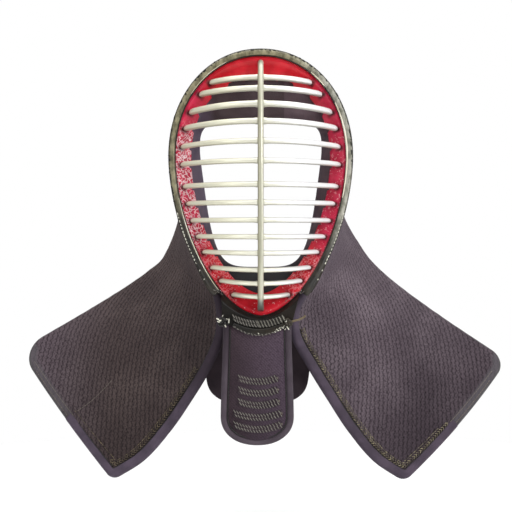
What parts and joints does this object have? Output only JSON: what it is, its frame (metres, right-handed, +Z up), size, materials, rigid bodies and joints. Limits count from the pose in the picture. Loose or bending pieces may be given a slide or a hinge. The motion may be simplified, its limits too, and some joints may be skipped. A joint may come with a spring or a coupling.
{
  "type": "kendo head guard",
  "caption": "Protective head guard with a bowed metal face grille in a lacquered rim, a quilted hood with two spread side flaps, and a hanging throat guard.",
  "frame": {"origin": "inside of the hood at its top, where it rests on the crown of a head", "axes": "+Z up, the face looks along -Y, +X is on a viewer's right and the wearer's left"},
  "size_m": [0.5741, 0.2234, 0.4928],
  "materials": {
    "ivory_metal": "smooth clear-coated light metal with a warm ivory tint",
    "black_lacquered_leather": "glossy black lacquer over leather",
    "red_lacquer": "glossy red lacquer over leather",
    "navy_cotton": "dark navy brushed cotton",
    "quilted_cotton": "indigo cotton, closely machine quilted",
    "hem_cotton": "smooth indigo cotton tape",
    "piping_cotton": "smooth padded indigo cotton"
  },
  "bodies": {
    "root": {"grille": "ivory_metal", "rim": "black_lacquered_leather", "rim_lining": "red_lacquer", "face_pad": "navy_cotton", "quilted_hood": "quilted_cotton", "left_flap": "quilted_cotton", "right_flap": "quilted_cotton", "left_edge_binding": "hem_cotton", "right_edge_binding": "hem_cotton", "chin_guard": "black_lacquered_leather", "chin_braid": "black_lacquered_leather", "chin_lacing": "black_lacquered_leather", "left_chin_knot": "black_lacquered_leather", "right_chin_knot": "black_lacquered_leather", "throat_guard": "quilted_cotton", "throat_guard_piping": "piping_cotton", "inner_throat_guard": "navy_cotton"}
  },
  "joints": []
}
